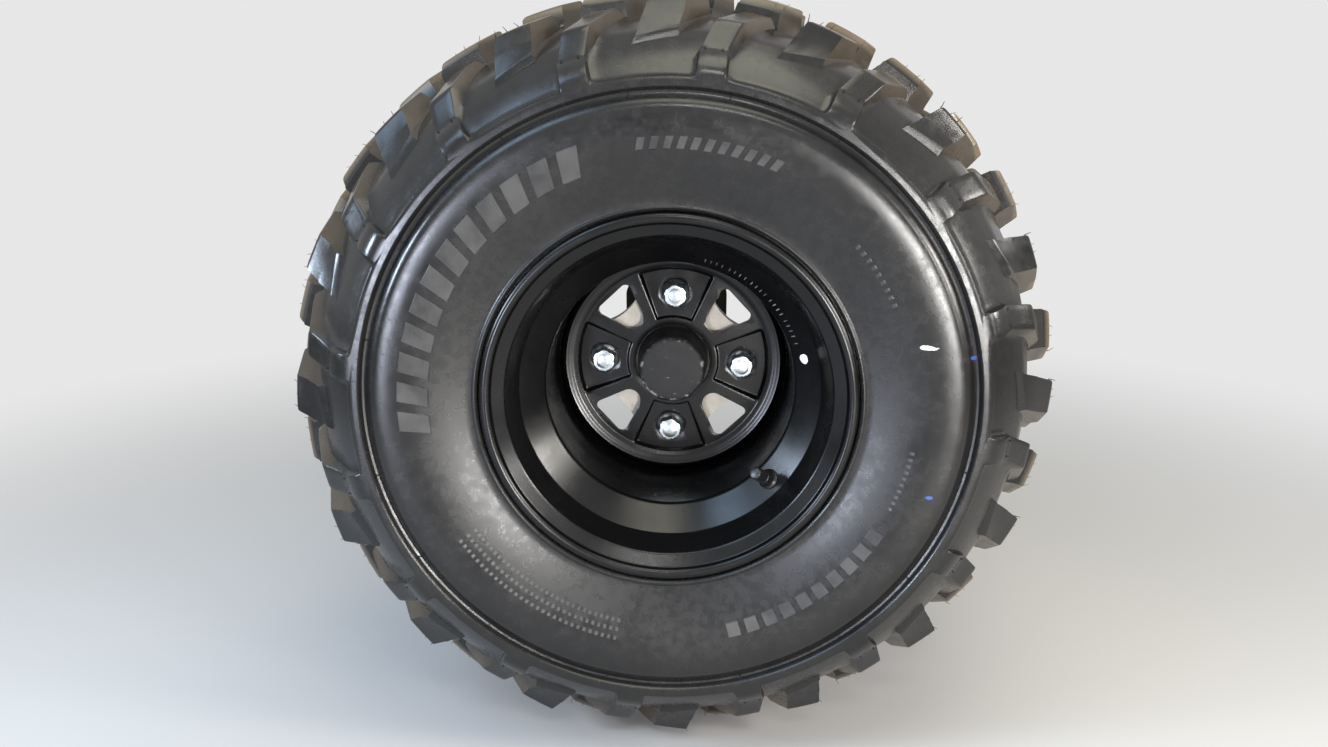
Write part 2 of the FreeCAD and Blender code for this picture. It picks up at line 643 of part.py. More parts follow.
def lug(name, corners, width, phase, pivot, slant="0", skew="0"):
    """A lug on each side of the tyre, the inboard one half a pitch further round.

    Its (radius, depth) corners lie on a section that turns about the radius at the pivot
    depth, so that the lug leans clockwise as it goes inwards. It is padded both ways round
    the tyre, with its ends skewed."""
    both = []
    for side, sign in (("outer", 1), ("inner", -1)):
        turn = phase
        if sign < 0:
            corners = mirrored(corners)
            pivot = f"(rim_width - {pivot})"
            turn += 180 / value("lug_count")
        sketch = axial(tyre, f"{side}_{name}_sketch", turn)
        sketch.AttachmentOffset = Placement(
            Vector(value(pivot), 0, 0),
            Rotation(Vector(1, 0, 0), turn) * Rotation(Vector(0, 1, 0), -sign * value(slant)))
        sketch.setExpression("AttachmentOffset.Base.x", bound(pivot))
        outline(sketch, [(f"({depth} - {pivot}) / cos({slant})", radius)
                         for radius, depth in corners])
        pad = extrude(tyre, f"{side}_{name}", "Pad", sketch, width, midplane=True)
        lean = math.radians(value(skew))
        pad.UseCustomVector = True
        pad.AlongSketchNormal = False
        pad.Direction = Rotation(Vector(0, 1, 0), turn).multVec(
            Vector(math.cos(lean), sign * math.sin(lean), 0))
        doc.recompute()
        both.append(pad)
    return both


half_pitch = 180 / value("lug_count")
bar_foot = lug("bar_foot", [
    (f"{BAND} - foot_inset", "belly_depth + foot_sink"),
    (KNEE, "knee_depth"),
    (f"{KNEE} - knee_root", "knee_depth"),
    (f"{BAND} - panel_cut", "belly_depth + panel_cut"),
], "bar_width", 0, "knee_depth")
bar = lug("bar", [
    (KNEE, "knee_depth"),
    (f"{KNEE} + bar_rise", "knee_depth + bar_run"),
    (f"{KNEE} + bar_rise + bar_crest", "near_start + bar_lap"),
    (f"{CROWN} - lug_root", "near_start + bar_lap"),
    (f"{SHOULDER} - bar_root", "shoulder_depth"),
    (f"{KNEE} - knee_root", "knee_depth"),
], "bar_width", 0, "knee_depth", "lug_slant")
wedge = lug("wedge", [
    (f"{SHOULDER} - wedge_foot", "wedge_foot_depth"),
    (f"{CROWN} + wedge_edge", "wedge_edge_depth"),
    (f"{CROWN} + wedge_height", "wedge_end"),
    (f"{CROWN} - lug_root", "wedge_end"),
], "wedge_width", half_pitch + value("wedge_lead"), "(wedge_end + wedge_foot_depth) / 2",
    "lug_slant", "lug_skew")
near_block = lug("near_block", [
    (f"{CROWN} - lug_root", "near_start"),
    (f"{CROWN} + near_low", "near_start"),
    (f"{CROWN} + near_high", "near_end"),
    (f"{CROWN} - lug_root", "near_end"),
], "block_width", value("near_lead"), "(near_start + near_end) / 2", "lug_slant", "lug_skew")
far_block = lug("far_block", [
    (f"{CROWN} - lug_root", "far_start"),
    (f"{CROWN} + far_low", "far_start"),
    (f"{CROWN} + far_high", "far_end"),
    (f"{CROWN} - lug_root", "far_end"),
], "block_width", half_pitch + value("far_lead"), "(far_start + far_end) / 2",
    "lug_slant", "lug_skew")
lugs = bar_foot + bar + wedge + near_block + far_block
repeat(tyre, "tread", lugs, "lug_count")
finished(place(tyre, "tread_turn"), "tyre")

doc.recompute()
for item in doc.Objects:
    shape = getattr(item, "Shape", None)
    if "Invalid" in item.State or "Error" in item.State or (
            shape is not None and not item.isDerivedFrom("App::OriginFeature")
            and (shape.isNull() or not shape.isValid())):
        raise RuntimeError(f"{item.Label} did not build: {item.State}")
os.makedirs("parts", exist_ok=True)
for piece in pieces:
    if len(piece.Shape.Solids) != 1:
        raise RuntimeError(f"{piece.Label} is {len(piece.Shape.Solids)} solids")
    piece.Shape.exportStep(f"parts/{piece.Label}.step")
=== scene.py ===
import math
import bpy
import bmesh
import numpy as np
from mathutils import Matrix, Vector


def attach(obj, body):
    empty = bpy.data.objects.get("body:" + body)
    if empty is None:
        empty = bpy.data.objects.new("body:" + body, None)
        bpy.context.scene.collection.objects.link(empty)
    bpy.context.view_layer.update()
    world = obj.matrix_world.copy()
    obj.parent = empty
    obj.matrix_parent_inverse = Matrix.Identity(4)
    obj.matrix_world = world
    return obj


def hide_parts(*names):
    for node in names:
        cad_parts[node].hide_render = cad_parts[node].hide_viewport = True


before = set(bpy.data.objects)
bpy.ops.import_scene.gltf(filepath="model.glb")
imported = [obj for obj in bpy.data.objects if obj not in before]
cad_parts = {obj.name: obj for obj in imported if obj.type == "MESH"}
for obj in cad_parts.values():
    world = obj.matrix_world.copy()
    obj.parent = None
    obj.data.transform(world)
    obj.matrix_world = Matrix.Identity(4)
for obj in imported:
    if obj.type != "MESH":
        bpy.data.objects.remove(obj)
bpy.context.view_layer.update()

# Studio: a pale floor under the tyre, a pale surround, soft lamps in the places of the photograph's
# windows and open door, and the camera at its height and angle, about a metre from the wheel.
FLOOR = -0.2942
SURROUND = 0.8
camera_data = bpy.data.cameras.new("camera")
camera_data.sensor_width = 36
camera_data.lens = 28.84
camera = bpy.data.objects.new("camera", camera_data)
camera.location = (0.02385, -1.00147, 0.21559)
camera.rotation_euler = (math.radians(75.42), 0, math.radians(2.06))
bpy.context.collection.objects.link(camera)
bpy.context.scene.camera = camera
bpy.context.scene.view_settings.view_transform = "Standard"


def lamp(name, at, towards, width, height, watts, tint):
    """A soft rectangular lamp that looks at a point."""
    data = bpy.data.lights.new(name, "AREA")
    data.shape = "RECTANGLE"
    data.size, data.size_y = width, height
    data.energy = watts
    data.color = tint
    item = bpy.data.objects.new(name, data)
    item.location = at
    item.rotation_euler = (Vector(towards) - Vector(at)).to_track_quat("-Z", "Y").to_euler()
    bpy.context.collection.objects.link(item)


lamp("window_left", (-0.57, -1.5, -0.1), (-0.05, -0.26, 0), 0.2, 0.28, 8.5, (0.78, 0.84, 1))
lamp("window_side", (-1.0, -0.62, 0.3), (0, -0.2, 0), 0.18, 0.25, 9, (0.66, 0.8, 1))
lamp("window_high", (-0.8, -0.8, 1.1), (0, -0.2, 0.1), 0.6, 0.6, 7, (0.5, 0.72, 1))
lamp("door_right", (0.47, -1.5, -0.08), (0.05, -0.26, 0), 0.24, 0.2, 13.5, (1, 0.98, 0.95))
lamp("door_side", (1.0, -0.58, 0.3), (0, -0.2, 0), 0.2, 0.28, 7.5, (1, 0.96, 0.9))
lamp("window_front", (0.15, -1.3, 0.85), (0, -0.25, 0.2), 0.4, 0.1, 3, (1, 0.98, 0.96))
lamp("door_edge", (1.06, -1.15, 0.27), (0.1, -0.25, 0.05), 0.16, 0.5, 6.5, (1, 0.98, 0.95))
lamp("ceiling", (0.25, -0.55, 1.6), (0, -0.2, 0), 1.2, 0.9, 13, (1, 0.97, 0.78))


def node(tree, kind, inputs=None, **settings):
    """A shader node with its settings, its inputs set or linked, by name or number."""
    item = tree.nodes.new("ShaderNode" + kind)
    for key, setting in settings.items():
        setattr(item, key, setting)
    for key, given in (inputs or {}).items():
        if isinstance(given, bpy.types.NodeSocket):
            tree.links.new(given, item.inputs[key])
        else:
            item.inputs[key].default_value = given
    return item


def number_of(tree, operation, first, second):
    """What a maths node makes of two numbers."""
    return node(tree, "Math", {0: first, 1: second}, operation=operation).outputs[0]


def vector_of(tree, operation, *vectors):
    """What a vector node makes of its vectors: a number for lengths and dot products."""
    made = node(tree, "VectorMath", dict(enumerate(vectors)), operation=operation)
    return made.outputs["Value" if operation in ("LENGTH", "DOT_PRODUCT") else "Vector"]


def new_finish(name):
    """An empty material: itself, its node tree, its Principled shader and object coordinates."""
    made = bpy.data.materials.new(name)
    made.use_nodes = True
    made.node_tree.nodes.clear()
    shader = node(made.node_tree, "BsdfPrincipled")
    node(made.node_tree, "OutputMaterial", {"Surface": shader.outputs[0]})
    spots = node(made.node_tree, "TexCoord")
    return made, made.node_tree, shader, spots.outputs["Object"]


def dress(item, made):
    """Give every face of a piece one material."""
    item.data.materials.clear()
    item.data.materials.append(made)


world = bpy.data.worlds.new("surround")
bpy.context.scene.world = world
world.use_nodes = True
tree = world.node_tree
tree.nodes.clear()
rays = node(tree, "LightPath").outputs
seen = number_of(tree, "MAXIMUM", rays["Is Camera Ray"], rays["Is Glossy Ray"])
seen = number_of(tree, "MAXIMUM", seen, rays["Is Transmission Ray"])
soft = node(tree, "Background", {"Color": (0.95, 0.98, 1, 1), "Strength": 0.36})
pale = node(tree, "Background", {"Color": (1, 1, 1, 1), "Strength": SURROUND})
either = node(tree, "MixShader", {0: seen, 1: soft.outputs[0], 2: pale.outputs[0]})
node(tree, "OutputWorld", {"Surface": either.outputs[0]})

floor_mesh = bpy.data.meshes.new("floor")
floor_mesh.from_pydata(
    [(-30, -30, FLOOR), (30, -30, FLOOR), (30, 30, FLOOR), (-30, 30, FLOOR)], [], [(0, 1, 2, 3)])
floor = bpy.data.objects.new("floor", floor_mesh)
bpy.context.collection.objects.link(floor)
# away from the wheel the floor fades into the surround, for the camera only
floor_paint, tree, ground, spots = new_finish("floor_paint")
ground.inputs["Base Color"].default_value = (0.5, 0.49, 0.48, 1)
ground.inputs["Roughness"].default_value = 0.8
fade = node(tree, "MapRange", {"Value": vector_of(tree, "LENGTH", spots), "From Min": 0.35,
                               "From Max": 1.5}, interpolation_type="SMOOTHSTEP")
faded = number_of(tree, "MULTIPLY", fade.outputs[0],
                  node(tree, "LightPath").outputs["Is Camera Ray"])
glow = node(tree, "Emission", {"Strength": SURROUND})
either = node(tree, "MixShader", {0: faded, 1: ground.outputs[0], 2: glow.outputs[0]})
tree.links.new(either.outputs[0], tree.nodes["Material Output"].inputs["Surface"])
dress(floor, floor_paint)

# Housing, bearing, stub axle and hub: a cast housing bolts to the machine and holds a sealed
# bearing. The splined steel axle turns in it and carries the cast hub with its four studs.


def colour_of(hex_code):
    """A hexadecimal colour as linear RGBA."""
    channels = [int(hex_code[i:i + 2], 16) / 255 for i in (0, 2, 4)]
    return tuple(c / 12.92 if c <= 0.04045 else ((c + 0.055) / 1.055) ** 2.4 for c in channels) + (1,)


def group_of(name, inputs, outputs):
    """An empty shader group with named sockets, and its two end nodes."""
    group = bpy.data.node_groups.new(name, "ShaderNodeTree")
    for label, kind, default in inputs:
        socket = group.interface.new_socket(label, in_out="INPUT", socket_type="NodeSocket" + kind)
        socket.default_value = default
    for label, kind in outputs:
        group.interface.new_socket(label, in_out="OUTPUT", socket_type="NodeSocket" + kind)
    return group, group.nodes.new("NodeGroupInput"), group.nodes.new("NodeGroupOutput")


def use_group(tree, group, inputs):
    """The outputs of a group that is placed in a material with its own values."""
    item = tree.nodes.new("ShaderNodeGroup")
    item.node_tree = group
    for key, given in inputs.items():
        if isinstance(given, bpy.types.NodeSocket):
            tree.links.new(given, item.inputs[key])
        else:
            item.inputs[key].default_value = given
    return item.outputs


def span(tree, value, start, end, low=0.0, high=1.0):
    """A value's stretch from start to end, mapped to the stretch from low to high."""
    return node(tree, "MapRange", {"Value": value, "From Min": start, "From Max": end,
                                   "To Min": low, "To Max": high}).outputs[0]


def blend(tree, share, *colours):
    """A mix of two colours, each a socket or a hexadecimal code."""
    first, second = (colour_of(c) if isinstance(c, str) else c for c in colours)
    return node(tree, "Mix", {"Factor": share, "A": first, "B": second}, data_type="RGBA").outputs[2]


# grain: fine noise as a bump
grain, ends_in, ends_out = group_of(
    "grain", [("Coordinates", "Vector", (0, 0, 0)), ("Scale", "Float", 900.0),
              ("Strength", "Float", 0.2), ("Height", "Float", 0.0002)], [("Normal", "Vector")])
speck = node(grain, "TexNoise", {"Vector": ends_in.outputs["Coordinates"],
                                 "Scale": ends_in.outputs["Scale"], "Detail": 4.0})
bump = node(grain, "Bump", {"Strength": ends_in.outputs["Strength"],
                            "Distance": ends_in.outputs["Height"], "Height": speck.outputs[0]})
grain.links.new(bump.outputs[0], ends_out.inputs["Normal"])

# patches: slow noise between two numbers
patches, ends_in, ends_out = group_of(
    "patches", [("Coordinates", "Vector", (0, 0, 0)), ("Scale", "Float", 12.0),
                ("From", "Float", 0.35), ("To", "Float", 0.65), ("Low", "Float", 0.3),
                ("High", "Float", 0.5)], [("Value", "Float")])
slow = node(patches, "TexNoise", {"Vector": ends_in.outputs["Coordinates"],
                                  "Scale": ends_in.outputs["Scale"], "Detail": 5.0,
                                  "Roughness": 0.6})
between = span(patches, slow.outputs[0], *(ends_in.outputs[k] for k in ("From", "To", "Low", "High")))
patches.links.new(between, ends_out.inputs["Value"])


def patchy(tree, spots, scale, low=0.0, high=1.0, start=0.35, end=0.65):
    """Slow noise over a piece, from low to high."""
    return use_group(tree, patches, {"Coordinates": spots, "Scale": scale, "From": start, "To": end,
                                     "Low": low, "High": high})["Value"]


def grained(tree, spots, shader, scale, strength, height=0.0002):
    """Give a shader a fine bump."""
    made = use_group(tree, grain, {"Coordinates": spots, "Scale": scale, "Strength": strength,
                                   "Height": height})
    tree.links.new(made["Normal"], shader.inputs["Normal"])


def cast_finish(name, dark, light, low, high, metal, scale):
    """Rough cast or turned metal between two colours and two roughnesses."""
    made, tree, shader, spots = new_finish(name)
    shader.inputs["Metallic"].default_value = metal
    cloud = patchy(tree, spots, 70.0)
    tree.links.new(blend(tree, cloud, dark, light), shader.inputs["Base Color"])
    tree.links.new(span(tree, cloud, 0, 1, low, high), shader.inputs["Roughness"])
    grained(tree, spots, shader, scale, 0.5, 0.0004)
    return made


for name, *finish in (("hub", "hub_casting", "a49d92", "bdb6ab", 0.5, 0.65, 0.1, 450.0),
                      ("stub_axle", "axle_steel", "77787a", "8d8e90", 0.25, 0.4, 1, 900.0),
                      ("wheel_bearing", "bearing_steel", "8f9194", "a6a8aa", 0.2, 0.3, 1, 900.0),
                      ("bearing_housing", "housing_casting", "77756f", "8c8a83", 0.5, 0.7, 0.3, 400.0)):
    made = cast_finish(*finish)
    for slot in bpy.data.objects[name].material_slots:
        slot.material = made

# Bearing seal: a black rubber ring with a lip at its bore, pressed between the rings at the
# bearing's inner end, where it keeps dirt out.
RIM_FACE = -0.263


def placed(points):
    """Metres in the frame for points given by their angle clockwise of the top, and in millimetres
    by their radius and by their depth behind the rim's outer face."""
    angle, radius, depth = np.array(points, float).T
    return np.stack([np.sin(angle) * radius / 1000, RIM_FACE + depth / 1000,
                     np.cos(angle) * radius / 1000], axis=1)


def piece_of(name, verts, faces, sharp=35):
    """An object from points and faces, smooth except over sharp edges, facing outwards."""
    mesh = bpy.data.meshes.new(name)
    mesh.from_pydata([tuple(v) for v in verts], [], [tuple(f) for f in faces])
    work = bmesh.new()
    work.from_mesh(mesh)
    bmesh.ops.remove_doubles(work, verts=work.verts, dist=1e-6)
    bmesh.ops.recalc_face_normals(work, faces=work.faces)
    work.to_mesh(mesh)
    work.free()
    mesh.polygons.foreach_set("use_smooth", [True] * len(mesh.polygons))
    mesh.set_sharp_from_angle(angle=math.radians(sharp))
    item = bpy.data.objects.new(name, mesh)
    bpy.context.collection.objects.link(item)
    return item


def wrapped(rows, columns, close_rows=True):
    """Quads of a grid that closes on itself around the axle, and if asked across its section."""
    last = rows if close_rows else rows - 1
    return [(i * columns + j, i * columns + (j + 1) % columns,
             (i + 1) % rows * columns + (j + 1) % columns, (i + 1) % rows * columns + j)
            for i in range(last) for j in range(columns)]


def even_angles(count):
    """Angles once round, in equal steps."""
    return [k / count * 2 * math.pi for k in range(count)]


def turned(name, section, columns=256):
    """A closed (radius, depth) section turned about the wheel's axis."""
    points = [(a, radius, depth) for radius, depth in section for a in even_angles(columns)]
    return piece_of(name, placed(points), wrapped(len(section), columns), 30)


seal = turned("bearing_seal", [
    (18.4, 232.8), (18.3, 233.8), (19.0, 234.6), (20.4, 234.9), (21.6, 234.3), (23.0, 233.9),
    (28.0, 233.9), (29.2, 234.4), (30.6, 234.4), (31.3, 233.8), (31.4, 232.8)], columns=96)
soft_black, tree, shader, spots = new_finish("valve_rubber")
shader.inputs["Base Color"].default_value = colour_of("121213")
tree.links.new(patchy(tree, spots, 200.0, 0.28, 0.42), shader.inputs["Roughness"])
dress(seal, soft_black)
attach(seal, "carrier")

# Circlip: an open ring of spring steel with two eyes, sprung into the housing's bore behind the
# bearing to hold it.
CLIP_SECTION = [(29.3, 235.4), (31.85, 235.4), (31.85, 236.9), (29.3, 236.9)]
EYE_SECTION = [(1.1, 235.4), (3.0, 235.4), (3.0, 236.9), (1.1, 236.9)]
EYE_RADIUS = 28.3
stations = 81
verts = [(math.radians(190 + 340 * k / (stations - 1)), radius, depth)
         for k in range(stations) for radius, depth in CLIP_SECTION]
faces = [(4 * k + i, 4 * k + (i + 1) % 4, 4 * k + 4 + (i + 1) % 4, 4 * k + 4 + i)
         for k in range(stations - 1) for i in range(4)]
faces += [(0, 1, 2, 3), tuple(range(4 * stations - 1, 4 * stations - 5, -1))]
for side in (-13, 13):
    faces += [tuple(len(verts) + i for i in face) for face in wrapped(len(EYE_SECTION), 24)]
    verts += [(math.radians(180 + side) + radius * math.cos(a) / EYE_RADIUS,
               EYE_RADIUS + radius * math.sin(a), depth)
              for radius, depth in EYE_SECTION for a in even_angles(24)]
circlip = piece_of("circlip", placed(verts), faces, 30)
dress(circlip, cast_finish("spring_steel", "6d6f72", "8b8d90", 0.22, 0.36, 1, 1200.0))
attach(circlip, "carrier")

# Rim barrel: rolled steel sheet with a curled lip, bead seats and a central well, painted black.
# The disc's skirt is welded in its well.
RIM_SHEET = 3.0
RIM_WIDTH = 226
# radius, depth and rounding of the corners from the curl to the middle of the well
RIM_LINE = [(138.5, 9, 0), (138.5, 0, 4), (130.1, 0, 4), (130.1, 5, 2.2), (120.8, 10.5, 4),
            (114.5, 33.5, 5), (95.7, 52, 6), (95.7, 113, 0)]


def rounded_line(corners, steps=6):
    """Points and unit normals (to the left) along a line whose corners are rounded."""
    line = [np.array(c[:2], float) for c in corners]
    spots, normals = [], []
    for i, (point, corner) in enumerate(zip(line, corners)):
        if i in (0, len(line) - 1):
            way = line[1] - line[0] if i == 0 else line[-1] - line[-2]
            way = way / np.linalg.norm(way)
            spots.append(point)
            normals.append(np.array([-way[1], way[0]]))
            continue
        into, out = point - line[i - 1], line[i + 1] - point
        into, out = into / np.linalg.norm(into), out / np.linalg.norm(out)
        turn = math.atan2(into[0] * out[1] - into[1] * out[0], float(into @ out))
        start = point - into * corner[2] * math.tan(abs(turn) / 2)
        left = np.array([-into[1], into[0]])
        centre = start + left * corner[2] * math.copysign(1, turn)
        for k in range(steps + 1):
            c, s = math.cos(turn * k / steps), math.sin(turn * k / steps)
            spin = np.array([[c, -s], [s, c]])
            spots.append(centre + spin @ (start - centre))
            normals.append(spin @ left)
    return np.array(spots), np.array(normals)


half, half_normals = rounded_line(RIM_LINE)
shown = np.vstack([half, [(r, RIM_WIDTH - w) for r, w in half[-2::-1]]])
normals = np.vstack([half_normals, [(r, -w) for r, w in half_normals[-2::-1]]])
outwards = 1 if normals[len(half) - 1][0] > 0 else -1
hidden = shown + normals * outwards * RIM_SHEET
rim_barrel = turned("rim_barrel_rolled", [*shown, *hidden[::-1]])
rim_paint, tree, shader, spots = new_finish("rim_paint")
shader.inputs["Base Color"].default_value = colour_of("09090a")
shader.inputs["Specular IOR Level"].default_value = 0.34
tree.links.new(patchy(tree, spots, 30.0, 0.2, 0.3), shader.inputs["Roughness"])
grained(tree, spots, shader, 500.0, 0.08)
dress(rim_barrel, rim_paint)
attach(rim_barrel, "wheel")
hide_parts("rim_barrel")

# Rim ticks: a row of plain marks stamped in the steel on the rim's slope, with the paint rubbed
# thin on their tops.
slope_line = sorted((float(r), float(w)) for r, w in half if 95.8 < r < 114.3)
slope_tilt = math.atan2(slope_line[0][1] - slope_line[-1][1], slope_line[-1][0] - slope_line[0][0])


def on_slope(angle, radius, across, up):
    """A point on the rim's slope, some millimetres along the slope and above it."""
    depth = float(np.interp(radius, *zip(*slope_line)))
    c, s = math.cos(slope_tilt), math.sin(slope_tilt)
    return angle, radius + across * c - up * s, depth - across * s - up * c


TICK_RADIUS = 101.5
verts, faces = [], []
for number in range(21):
    angle = math.radians(15 + 2.5 * number + 0.9 * (number // 4))
    start = len(verts)
    for up, wide, tall in ((-0.3, 0.45, 1.9), (0.22, 0.25, 1.6)):
        verts += [on_slope(angle + x / TICK_RADIUS, TICK_RADIUS, z, up)
                  for x, z in ((-wide, -tall), (wide, -tall), (wide, tall), (-wide, tall))]
    faces += [tuple(start + k for k in side) for side in
              ((0, 1, 5, 4), (1, 2, 6, 5), (2, 3, 7, 6), (3, 0, 4, 7), (4, 5, 6, 7), (3, 2, 1, 0))]
rim_ticks = piece_of("rim_ticks", placed(verts), faces)
stamped, tree, shader, spots = new_finish("stamped_ticks")
tree.links.new(blend(tree, patchy(tree, spots, 80.0), "4a4a4c", "8e8e90"), shader.inputs["Base Color"])
tree.links.new(patchy(tree, spots, 120.0, 0.3, 0.5), shader.inputs["Roughness"])
dress(rim_ticks, stamped)
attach(rim_ticks, "wheel")
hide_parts("rim_barrel")

# Balance spot: a round dab of white paint on the rim's slope, put there by hand where the tyre
# and the rim were matched.
SPOT_RADIUS = 104
verts = []
for radius, up in ((0.01, 0.35), (2.6, 0.33), (3.5, 0.22), (3.9, 0.0), (4.0, -0.25), (0.01, -0.3)):
    for a in even_angles(32):
        reach = radius * (1 + 0.05 * math.sin(3 * a + 1) + 0.03 * math.sin(7 * a))
        verts.append(on_slope(math.radians(76.5) + reach * math.cos(a) / SPOT_RADIUS, SPOT_RADIUS,
                              reach * math.sin(a), up))
balance_spot = piece_of("balance_spot", placed(verts), wrapped(6, 32, close_rows=False))
spot_paint, tree, shader, spots = new_finish("white_paint")
aged = patchy(tree, spots, 300.0)
tree.links.new(blend(tree, aged, "efece4", "dedad0"), shader.inputs["Base Color"])
tree.links.new(span(tree, aged, 0, 1, 0.5, 0.7), shader.inputs["Roughness"])
dress(balance_spot, spot_paint)
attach(balance_spot, "wheel")
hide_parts("rim_barrel")

# Wheel disc: pressed steel with four recessed nut pads, four windows and a rolled bead, welded
# in the rim's well by its skirt and painted with the rim.
WHEEL_TURN = math.radians(2.1)
DISC_SHEET = 3.5
DISC_FACE = 131.4
PAD_RECESS = 3.5
NUT_SEAT = 136.1
STUD_RADIUS = 57.5
SKIRT_RADIUS = 95.55
# where the disc has points: degrees from the middle of a pad, and radii
quarter = [0, 4, 8, 12, 16, 19.2, 20.6, 21.2, 21.8, 22.4, 23.0, 23.6, 25, 28, 32, 36, 40, 43]
quarter += [45] + [90 - a for a in quarter[:0:-1]]
disc_angles = np.radians([90 * q + a for q in range(4) for a in quarter])
disc_radii = [31.0, 31.4, 32.2, 35.0, 36.6, 37.4, 38.0, 38.8, 40, 44, 50, 57.5, 65, 72, 76.6, 77.4,
              78.0, 78.7, 79.4, 80.0, 80.7, 82.0, 83.6, 85.0, 86.4, 87.6, 88.6, 89.6, 90.6, 91.6,
              92.7, 93.8, 94.8, 95.4]
# the bead: radii, and how much deeper the disc lies there
BEAD = ([79.6, 81, 84, 86.8, 88.2, 89.6, 91, 92.8, 94.4, 95.4],
        [0, -0.6, -2.2, -2.5, -3.2, -3.6, -3.0, -1.2, 2.0, 5.0])


def smooth_step(x):
    """An even rise from 0 to 1."""
    x = np.clip(x, 0, 1)
    return x * x * (3 - 2 * x)


def disc_depth(radius, angle):
    """Depth of the disc's outer face: four pads with sloped walls, a rounded bore and the bead."""
    off = abs((math.degrees(angle) + 45) % 90 - 45)
    in_pad = smooth_step((23.4 - off) / 2.4) * smooth_step((radius - 37.2) / 1.6) \
        * smooth_step((80.0 - radius) / 2.6)
    bore = 0.6 * smooth_step((34.0 - radius) / 3.0)
    return float(DISC_FACE + PAD_RECESS * in_pad + bore + np.interp(radius, *BEAD))


def cutter_of(name, outlines):
    """Closed prisms along the axle: each is a list of (x, z) corners in metres and two depths."""
    verts, faces = [], []
    for corners, near, far in outlines:
        start, count = len(verts), len(corners)
        for depth in (near, far):
            verts += [(x, RIM_FACE + depth / 1000, z) for x, z in corners]
        faces += [(start + k, start + (k + 1) % count, start + count + (k + 1) % count,
                   start + count + k) for k in range(count)]
        faces += [tuple(range(start, start + count)),
                  tuple(range(start + 2 * count - 1, start + count - 1, -1))]
    return piece_of(name, verts, faces)


def spun(points, angle):
    """Sideways and outward millimetres turned clockwise, as (x, z) in metres."""
    c, s = math.cos(angle), math.sin(angle)
    return [((x * c + z * s) / 1000, (-x * s + z * c) / 1000) for x, z in points]


def arc_of(x, z, radius, start, end, count):
    """Points of an arc between two angles in degrees."""
    return [(x + radius * math.cos(a), z + radius * math.sin(a))
            for a in np.radians(np.linspace(start, end, count))]


grid = [[(a, r, disc_depth(r, a)) for a in disc_angles] for r in disc_radii]
grid += [[(a, SKIRT_RADIUS, w) for a in disc_angles] for w in (138.0, 141.0, 145.0, 149.4)]
verts = [(a + WHEEL_TURN, r, w) for row in grid for a, r, w in row]
wheel_disc = piece_of("wheel_disc_pressed", placed(verts),
                      wrapped(len(grid), len(disc_angles), close_rows=False), 40)
facing_out = wheel_disc.data.polygons[len(disc_angles) * 10].normal.y < 0
thick = wheel_disc.modifiers.new("sheet", "SOLIDIFY")
thick.thickness = DISC_SHEET / 1000
thick.offset = -1 if facing_out else 1

# a window is round towards the hub and has two rounded corners at the bead
corner = arc_of(11.8, 70.6, 5.0, -15, 80, 8)
window = arc_of(0, 50.5, 9.5, 195, 345, 14) + corner + [(-x, z) for x, z in corner[::-1]]
cuts = []
for number in range(4):
    turn = WHEEL_TURN + number * math.pi / 2
    cuts.append((spun(window, turn + math.pi / 4), 120, 145))
    for radius, near, far in ((13.2, 120, NUT_SEAT), (5.4, 135, 145)):
        hole = [(radius * math.cos(a), STUD_RADIUS + radius * math.sin(a)) for a in even_angles(48)]
        cuts.append((spun(hole, turn), near, far))
openings = cutter_of("openings", cuts)
cut = wheel_disc.modifiers.new("openings", "BOOLEAN")
cut.object = openings
cut.solver = "EXACT"
edge = wheel_disc.modifiers.new("edges", "BEVEL")
edge.width = 0.0006
edge.segments = 2
edge.limit_method = "ANGLE"
edge.angle_limit = math.radians(50)
baked = bpy.data.meshes.new_from_object(
    wheel_disc.evaluated_get(bpy.context.evaluated_depsgraph_get()))
wheel_disc.modifiers.clear()
wheel_disc.data = baked
baked.set_sharp_from_angle(angle=math.radians(38))
bpy.data.objects.remove(openings)
dress(wheel_disc, rim_paint)
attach(wheel_disc, "wheel")
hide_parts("wheel_disc")

# Valve: a rubber stem with a foot inside and a collar outside, snapped into a hole in the slope
# of the rim, with a ribbed black cap screwed on its end.
VALVE_TURN = math.radians(133)
VALVE_RIBS = 20
# the stem stands square on the middle of the slope
(slope_r, slope_w), (well_r, well_w) = RIM_LINE[5][:2], RIM_LINE[6][:2]
slope = math.atan2(well_w - slope_w, slope_r - well_r)
outward = Vector((math.sin(VALVE_TURN), 0, math.cos(VALVE_TURN)))
along = outward * -math.sin(slope) + Vector((0, -math.cos(slope), 0))
foot = outward * (slope_r + well_r) / 2000 + Vector((0, RIM_FACE + (slope_w + well_w) / 2000, 0))
across = along.cross(Vector((0, 1, 0))).normalized()
third = along.cross(across)
# radius, height above the rim and share of the cap's ribs
VALVE_ROWS = [(0.01, -6.9, 0), (6.5, -6.8, 0), (8, -6, 0), (8, -3.4, 0), (5.4, -2.9, 0),
              (5.2, -0.3, 0), (7.6, 0.1, 0), (8.1, 0.5, 0), (7.9, 1.3, 0), (6.4, 2.3, 0),
              (5.6, 3.6, 0), (5.3, 6.5, 0), (5.2, 9.5, 0), (4.7, 10, 0), (4.6, 10.3, 0),
              (5.0, 10.6, 0), (5.05, 11.2, 1), (5.05, 20.6, 1), (4.7, 21.9, 1), (3.9, 22.7, 0),
              (2.2, 23.0, 0), (0.01, 23.0, 0)]
verts = []
for radius, height, ribbed in VALVE_ROWS:
    for a in even_angles(120):
        r = radius - ribbed * 0.32 * (0.5 - 0.5 * math.cos(VALVE_RIBS * a)) ** 2
        verts.append(foot + (along * height + (across * math.cos(a) + third * math.sin(a)) * r) / 1000)
